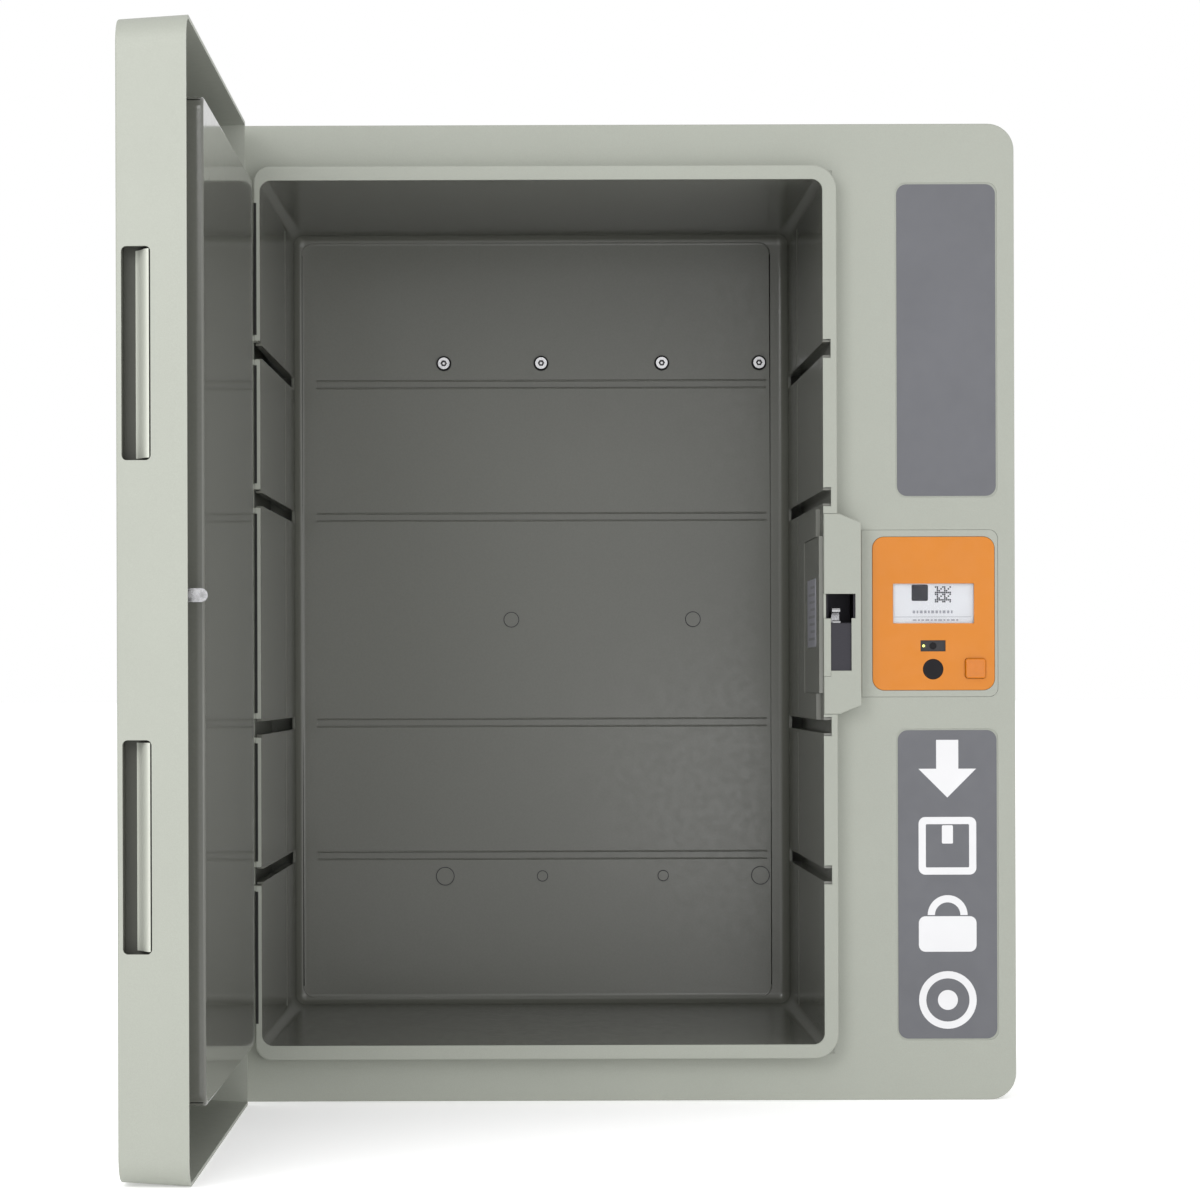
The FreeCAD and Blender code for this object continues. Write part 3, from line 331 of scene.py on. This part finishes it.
def add_ring(bm, outer, inner, front, rear, place):
    """A solid band between two outlines that have as many points as each other."""
    rows = [[bm.verts.new(place(u, v, depth)) for u, v in loop]
            for loop, depth in ((outer, front), (inner, front), (inner, rear), (outer, rear))]
    for near, far in zip(rows, rows[1:] + rows[:1]):
        for k in range(len(outer)):
            after = (k + 1) % len(outer)
            bm.faces.new((near[k], far[k], far[after], near[after]))


def add_tube(bm, points, radius, closed=False):
    """A round bead along a line of points, capped at its ends unless it closes on itself."""
    spokes = [2 * math.pi * i / TUBE_SIDES for i in range(TUBE_SIDES)]
    section = [Vector((radius * math.cos(a), radius * math.sin(a), 0)) for a in spokes]
    rows = []
    count = len(points)
    for k, point in enumerate(points):
        if closed:
            along = points[(k + 1) % count] - points[k - 1]
        else:
            along = points[min(k + 1, count - 1)] - points[max(k - 1, 0)]
        turn = along.to_track_quat("Z", "Y")
        rows.append([bm.verts.new(point + turn @ corner) for corner in section])
    last = rows[:1] if closed else []
    for near, far in zip(rows, rows[1:] + last):
        for k in range(TUBE_SIDES):
            after = (k + 1) % TUBE_SIDES
            bm.faces.new((near[k], near[after], far[after], far[k]))
    if not closed:
        bm.faces.new(rows[0])
        bm.faces.new(rows[-1])


def facing_front(u, v, depth):
    """Puts an outline in X and Z, seen from the front."""
    return u, depth, v


def facing_left(u, v, depth):
    """Puts an outline in Y and Z, seen from the left."""
    return depth, u, v


def lying_flat(u, v, depth):
    """Puts an outline in X and Y, seen from above."""
    return u, v, depth


def circle(x, z, radius, steps=40, start=0, sweep=360):
    """Points round a circle, or along part of one without the point at its end."""
    angles = [math.radians(start + sweep * k / steps) for k in range(steps)]
    return [(x + radius * math.cos(a), z + radius * math.sin(a)) for a in angles]


# ---------------------------------------------------------------- compartment

SHELF_LEVELS = (0.676, 0.543, 0.337, 0.204)
BEAD = 0.8 * MM
LINER_SKIN = 2.5 * MM

# The grooves across the back wall.
GROOVE_ENDS = (-0.299, 0.152)
GROOVE_HALF = 3.8 * MM

# The ridge that frames the back wall: left, right, low and high, and its corners' radius.
BACK_RIDGE = (-0.313, 0.156, 0.0615, 0.8175)
BACK_RIDGE_CORNER = 12 * MM

# The upright ridge on each side wall.
SIDE_RIDGES = (("left", -0.3219), ("right", 0.1753))
SIDE_RIDGE_Y = 0.058
SIDE_RIDGE_TOP = 0.816
SIDE_RIDGE_FOOT = 0.064
CHANNEL_HALF = 9 * MM


def back_wall():
    """The Y of the inner face of the tub's back wall."""
    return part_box("inner_liner")[1][1] - LINER_SKIN


def groove_beads(wall):
    """A fine raised edge above and below each groove across the back wall."""
    for number, level in enumerate(SHELF_LEVELS, 1):
        bm = bmesh.new()
        for z in (level - GROOVE_HALF, level + GROOVE_HALF):
            add_tube(bm, [Vector((x, wall, z)) for x in GROOVE_ENDS], BEAD)
        piece(f"groove_edges_{number}", bm, DARK_LINER, "cabinet")


def back_ridge(wall):
    """The rounded ridge that frames the back wall."""
    loop = rounded_loop(*BACK_RIDGE, BACK_RIDGE_CORNER)
    bm = bmesh.new()
    add_tube(bm, [Vector((x, wall, z)) for x, z in loop], BEAD, closed=True)
    piece("back_wall_ridge", bm, DARK_LINER, "cabinet")


def side_ridges():
    """An upright ridge down each side wall, broken where the shelf channels cross it."""
    stops = [SIDE_RIDGE_TOP, *SHELF_LEVELS, SIDE_RIDGE_FOOT]
    for side, x in SIDE_RIDGES:
        bm = bmesh.new()
        for above, below in zip(stops, stops[1:]):
            top = above if above == SIDE_RIDGE_TOP else above - CHANNEL_HALF
            foot = below if below == SIDE_RIDGE_FOOT else below + CHANNEL_HALF
            add_tube(bm, [Vector((x, SIDE_RIDGE_Y, foot)), Vector((x, SIDE_RIDGE_Y, top))], BEAD)
        piece(f"side_ridge_{side}", bm, DARK_LINER, "cabinet")


# ---------------------------------------------------------------- screws and plugs

# Fixings and plugs stand in pairs about the tub's middle. NEAR_PAIR is half the inner pair's distance.
NEAR_PAIR = 60.5 * MM
SCREW_HEAD = 5.75 * MM
SOCKET_OUTER = 3.3 * MM
SOCKET_INNER = 1.5 * MM
SOCKET_PROUD = 0.15 * MM
SOCKET_DEEP = 1.0 * MM

TUB_MIDDLE = -0.013
FAR_PAIR = 158 * MM
MIDDLE_PAIR = 91 * MM
PLUG_SEAM = 0.8 * MM
PLUG_FRONT = 1.1 * MM
# Height, then each plug's distance from the middle and its radius.
PLUG_ROWS = (
    (0.183, ((-FAR_PAIR, 8.5 * MM), (-NEAR_PAIR, 4.8 * MM), (NEAR_PAIR, 4.8 * MM), (FAR_PAIR, 8.5 * MM))),
    (0.440, ((-MIDDLE_PAIR, 7.0 * MM), (MIDDLE_PAIR, 7.0 * MM))),
)


def screw_socket_shade():
    """A dark six-sided ring on each wall screw's head: painted shade standing in for the shaded hollow of
    its socket.
    """
    low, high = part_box("wall_screws")
    middle = (low[0] + high[0]) / 2
    height = low[2] + SCREW_HEAD
    wide = (high[0] - low[0]) / 2 - SCREW_HEAD
    front = low[1] - SOCKET_PROUD
    rear = low[1] + SOCKET_DEEP
    bm = bmesh.new()
    # Painted shade: a dark ring in place of each socket's shaded hollow.
    for offset in (-wide, -NEAR_PAIR, NEAR_PAIR, wide):
        outer = circle(middle + offset, height, SOCKET_OUTER, 6)
        inner = circle(middle + offset, height, SOCKET_INNER, 6)
        add_ring(bm, outer, inner, front, rear, facing_front)
    piece("screw_socket_shade", bm, BLACK_PLASTIC, "cabinet", smooth=False)


def plug_seams(wall):
    """The dark seam round each plug that closes an unused hole in the back wall."""
    bm = bmesh.new()
    for z, plugs in PLUG_ROWS:
        for offset, radius in plugs:
            x = TUB_MIDDLE + offset
            outer = circle(x, z, radius + PLUG_SEAM)
            add_ring(bm, outer, circle(x, z, radius), wall - PLUG_FRONT, wall, facing_front)
    piece("plug_seams", bm, BLACK_PLASTIC, "cabinet", smooth=False)


# ---------------------------------------------------------------- rim corners

FRAME_FACE = -0.205
RIM_CENTRE_X = 0.1695
# The height of each right-hand corner's centre, and the angle at which its quarter turn starts.
RIM_CENTRES_Z = ((0.8185, 0), (0.0615, -90))
STRIP_OUTER = 27 * MM
STRIP_INNER = 20 * MM
STRIP_SET_BACK = 0.6 * MM
STRIP_THICK = 1.0 * MM
STRIP_STEPS = 12


def rim_corner_seals():
    """Curved strips that hide, from the front, the small holes at the rim's right-hand corners."""
    front = FRAME_FACE + STRIP_SET_BACK
    bm = bmesh.new()
    for z, start in RIM_CENTRES_Z:
        outer = circle(RIM_CENTRE_X, z, STRIP_OUTER, STRIP_STEPS, start, 90)
        inner = circle(RIM_CENTRE_X, z, STRIP_INNER, STRIP_STEPS, start, 90)
        add_prism(bm, outer + inner[::-1], front, front + STRIP_THICK, facing_front)
    piece("rim_corner_seals", bm, LIGHT_SHELL, "cabinet")


# ---------------------------------------------------------------- door grips

CUP_WALL = 1.6 * MM
RAMP_PROUD = 4.6 * MM        # how far the ramp's high end stands before the cup
RAMP_INSET = 3.2 * MM
RAMP_WIDE = 11.5 * MM
RAMP_END_GAP = 4 * MM
RAMP_STEPS = 10


def grip_ramp(node):
    """The pale slope inside a grip recess, eased at both ends like half a wave, in shell plastic painted
    lighter as painted light.
    """
    low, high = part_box(node)
    deep = high[1] - CUP_WALL
    shallow = low[1] - RAMP_PROUD
    right = high[0] - RAMP_INSET
    foot = right - RAMP_WIDE
    outline = []
    for k in range(RAMP_STEPS + 1):
        share = k / RAMP_STEPS
        rise = 0.5 - 0.5 * math.cos(math.pi * share)
        outline.append((foot + (right - foot) * share, deep + (shallow - deep) * rise))
    outline.append((right, deep))
    bm = bmesh.new()
    add_prism(bm, outline, low[2] + RAMP_END_GAP, high[2] - RAMP_END_GAP, lying_flat)
    piece(node.replace("cup", "ramp"), bm, LIT_RAMP, "door")


# ---------------------------------------------------------------- prints

PRINT = 0.12 * MM            # how far ink stands off what it is printed on

# The screen's top left corner. Places on the screen are in millimetres right of it and below it.
SCREEN_LEFT = 0.243
SCREEN_TOP = 0.4654
TILE = 14.8 * MM
TILE_CORNER = 1.4 * MM
TILE_AT = (17, 15.6)
CHEQUER_AT = (38, 2.4)
CHEQUER_CELLS = 9
CHEQUER_PITCH = 1.65
CHEQUER_CELL = 1.4 * MM
CELL_CORNER = 0.2 * MM
DASH_START = 18.0
DASH_GAP = 1.3
DASH_COUNT = 11
DASH_CORNER = 0.3 * MM
# Each row of dashes: how far down it is, how tall, and the widths that its dashes take in turn.
DASH_ROWS = ((24.2, 2.6, (2.2, 1.6, 2.6)), (32.2, 1.3, (3.4, 1.8, 2.4)))
RULE_AT = (1, 29.8)
RULE_WIDE = 69.5 * MM
RULE_TALL = 0.4 * MM
RULE_CORNER = 0.1 * MM


def on_screen(x, z):
    """A place on the screen, in the frame."""
    return SCREEN_LEFT + x * MM, SCREEN_TOP - z * MM


def print_shape(bm, loop, face):
    """One flat shape printed on a face that looks to the front."""
    add_prism(bm, loop, face - PRINT, face, facing_front)


def display_tiles(face):
    """A dark tile and a plain chequer, in place of what the display shows."""
    bm = bmesh.new()
    x, z = on_screen(*TILE_AT)
    print_shape(bm, rounded_loop(x, x + TILE, z, z + TILE, TILE_CORNER), face)
    across, down = CHEQUER_AT
    for column in range(CHEQUER_CELLS):
        for row in range(CHEQUER_CELLS):
            if (column * 5 + row * 3 + column * row) % 4 < 2:
                x, z = on_screen(across + CHEQUER_PITCH * column, down + CHEQUER_PITCH * row)
                cell = rounded_loop(x, x + CHEQUER_CELL, z - CHEQUER_CELL, z, CELL_CORNER, 1)
                print_shape(bm, cell, face)
    piece("display_tiles", bm, INK, "cabinet", smooth=False)


def display_dashes(face):
    """Two rows of dashes and a thin rule, in place of the display's text."""
    bm = bmesh.new()
    for down, tall, widths in DASH_ROWS:
        across = DASH_START
        for k in range(DASH_COUNT):
            wide = widths[k % len(widths)]
            x, z = on_screen(across, down)
            print_shape(bm, rounded_loop(x, x + wide * MM, z - tall * MM, z, DASH_CORNER, 2), face)
            across += wide + DASH_GAP
    x, z = on_screen(*RULE_AT)
    print_shape(bm, rounded_loop(x, x + RULE_WIDE, z - RULE_TALL, z, RULE_CORNER, 1), face)
    piece("display_dashes", bm, FAINT_INK, "cabinet", smooth=False)


SIGN_HALF = 26 * MM
SIGN_LINE = 6.5 * MM
SIGN_CORNER = 6 * MM
SHAFT_HALF = 10 * MM
TAPE_HALF = 5 * MM
TAPE_FOOT = 2 * MM
TAPE_GAP = 1 * MM
FINE_CORNER = 1 * MM
LOCK_TOP = 6 * MM
SHACKLE = 18 * MM
SHACKLE_UP = 7 * MM
SHACKLE_STEPS = 24
SHACKLE_SWEEP = 187.5        # half a turn and one step, since circle() leaves out its last point
DOT = 9 * MM


def sign_arrow(bm, x, z, face):
    """An arrow that points down."""
    right = [(x + SIGN_HALF, z), (x + SHAFT_HALF, z), (x + SHAFT_HALF, z + SIGN_HALF)]
    left = [(x - SHAFT_HALF, z + SIGN_HALF), (x - SHAFT_HALF, z), (x - SIGN_HALF, z)]
    print_shape(bm, [(x, z - SIGN_HALF), *right, *left], face)


def sign_box(bm, x, z, face):
    """A parcel's outline with a short strip of tape."""
    hole = SIGN_HALF - SIGN_LINE
    outer = rounded_loop(x - SIGN_HALF, x + SIGN_HALF, z - SIGN_HALF, z + SIGN_HALF, SIGN_CORNER)
    inner = rounded_loop(x - hole, x + hole, z - hole, z + hole, FINE_CORNER)
    add_ring(bm, outer, inner, face - PRINT, face, facing_front)
    top = z + hole - TAPE_GAP
    print_shape(bm, rounded_loop(x - TAPE_HALF, x + TAPE_HALF, z + TAPE_FOOT, top, FINE_CORNER, 2), face)


def sign_padlock(bm, x, z, face):
    """A padlock: a rounded body and its shackle."""
    case = rounded_loop(x - SIGN_HALF, x + SIGN_HALF, z - SIGN_HALF, z + LOCK_TOP, SIGN_CORNER)
    print_shape(bm, case, face)
    outer = circle(x, z + SHACKLE_UP, SHACKLE, SHACKLE_STEPS, 0, SHACKLE_SWEEP)
    inner = circle(x, z + SHACKLE_UP, SHACKLE - SIGN_LINE, SHACKLE_STEPS, 0, SHACKLE_SWEEP)
    print_shape(bm, outer + inner[::-1], face)


def sign_ring(bm, x, z, face):
    """A ring round a dot."""
    outer = circle(x, z, SIGN_HALF)
    add_ring(bm, outer, circle(x, z, SIGN_HALF - SIGN_LINE), face - PRINT, face, facing_front)
    print_shape(bm, circle(x, z, DOT), face)


def label_signs():
    """Four plain signs down the lower label, evenly spaced."""
    low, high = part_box("lower_label")
    signs = (("sign_arrow", sign_arrow), ("sign_box", sign_box),
             ("sign_padlock", sign_padlock), ("sign_ring", sign_ring))
    pitch = (high[2] - low[2]) / len(signs)
    for k, (name, draw) in enumerate(signs):
        bm = bmesh.new()
        draw(bm, (low[0] + high[0]) / 2, high[2] - pitch * (k + 0.5), low[1])
        piece(name, bm, WHITE_PRINT, "cabinet", smooth=False)


BAR_COUNT = 8
BAR_HALF = 1.2 * MM
BAR_CORNER = 0.4 * MM
# The longest that a bar may be, and where bars start, as shares of the label's width.
BAR_LONGEST = 0.9
BAR_START = 0.1
BAR_SHARES = (0.8, 0.55, 0.7)
LABEL_MARGIN = 4 * MM


def info_bars():
    """Grey bars, standing for small print, on the label of the service cover."""
    low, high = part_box("info_label")
    face = low[0]
    wide = high[1] - low[1]
    pitch = (high[2] - low[2] - 2 * LABEL_MARGIN) / BAR_COUNT
    start = low[1] + BAR_START * wide
    bm = bmesh.new()
    for k in range(BAR_COUNT):
        z = low[2] + LABEL_MARGIN + pitch * (k + 0.5)
        end = start + BAR_SHARES[k % len(BAR_SHARES)] * BAR_LONGEST * wide
        bar = rounded_loop(start, end, z - BAR_HALF, z + BAR_HALF, BAR_CORNER, 2)
        add_prism(bm, bar, face - PRINT, face, facing_left)
    piece("info_bars", bm, FAINT_INK, "cabinet", smooth=False)


# ---------------------------------------------------------------- stage

# The photo's camera, as fitted to the frame.
CAMERA_AT = (-0.0751, -3.6444, 0.3799)
CAMERA_ROLL = 0.17
LENS = 114.45
SENSOR = 36
SHIFT = (0.0497, 0.0663)

FLOOR_HALF = 60
FLOOR_GLOW = 0.35
SKY = 1.0
WHITE = (1, 1, 1, 1)

# Each light's name, place, target, size in metres and power in watts.
SOFTBOXES = (
    ("key", (-1.0, -2.4, 1.4), (-0.25, -0.6, 0.4), 1.2, 18),
    ("fill", (1.7, -2.8, 1.0), (-0.2, -0.3, 0.45), 1.6, 9),
    ("front", (0.6, -4.2, 0.5), (-0.1, 0.2, 0.4), 1.6, 10),
    ("low", (0.3, -1.9, 0.12), (0.0, 0.0, 0.12), 0.5, 1.2),
)


def place_camera(scene):
    """A camera that looks level along Y, from where the photo was taken."""
    camera = bpy.data.cameras.new("camera")
    camera.sensor_width = SENSOR
    camera.lens = LENS
    camera.shift_x, camera.shift_y = SHIFT
    eye = bpy.data.objects.new("camera", camera)
    eye.location = CAMERA_AT
    eye.rotation_euler = (math.radians(90), math.radians(CAMERA_ROLL), 0)
    scene.collection.objects.link(eye)
    scene.camera = eye


def light_room(scene):
    """An even white surround."""
    world = bpy.data.worlds.new("studio")
    world.use_nodes = True
    surround = world.node_tree.nodes["Background"]
    surround.inputs["Color"].default_value = WHITE
    surround.inputs["Strength"].default_value = SKY
    scene.world = world


def lay_floor(scene):
    """A plain pale floor that glows a little, so that it runs to white."""
    bm = bmesh.new()
    bmesh.ops.create_grid(bm, x_segments=1, y_segments=1, size=FLOOR_HALF)
    mesh = bpy.data.meshes.new("floor")
    bm.to_mesh(mesh)
    bm.free()
    floor = bpy.data.objects.new("floor", mesh)
    pale = film("floor", (0.9, 0.9, 0.9), rough=0.9, variation=0.005)
    shader = pale.node_tree.nodes["Principled BSDF"]
    shader.inputs["Emission Color"].default_value = WHITE
    shader.inputs["Emission Strength"].default_value = FLOOR_GLOW
    mesh.materials.append(pale)
    scene.collection.objects.link(floor)


def softbox(scene, name, place, target, size, power):
    """A square area light that faces a point."""
    light = bpy.data.lights.new(name, "AREA")
    light.shape = "SQUARE"
    light.size = size
    light.energy = power
    item = bpy.data.objects.new(name, light)
    item.location = place
    item.rotation_mode = "QUATERNION"
    item.rotation_quaternion = (Vector(target) - Vector(place)).to_track_quat("-Z", "Y")
    scene.collection.objects.link(item)


def stage():
    """The camera, the pale floor and the studio light."""
    scene = bpy.context.scene
    scene.view_settings.view_transform = "Standard"
    place_camera(scene)
    light_room(scene)
    lay_floor(scene)
    for light in SOFTBOXES:
        softbox(scene, *light)


stage()
dress_nodes()
groove_beads(back_wall())
back_ridge(back_wall())
side_ridges()
screw_socket_shade()
plug_seams(back_wall())
rim_corner_seals()
for grip in ("upper_grip_cup", "lower_grip_cup"):
    grip_ramp(grip)
display_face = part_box("display_panel")[0][1]
display_tiles(display_face)
display_dashes(display_face)
label_signs()
info_bars()
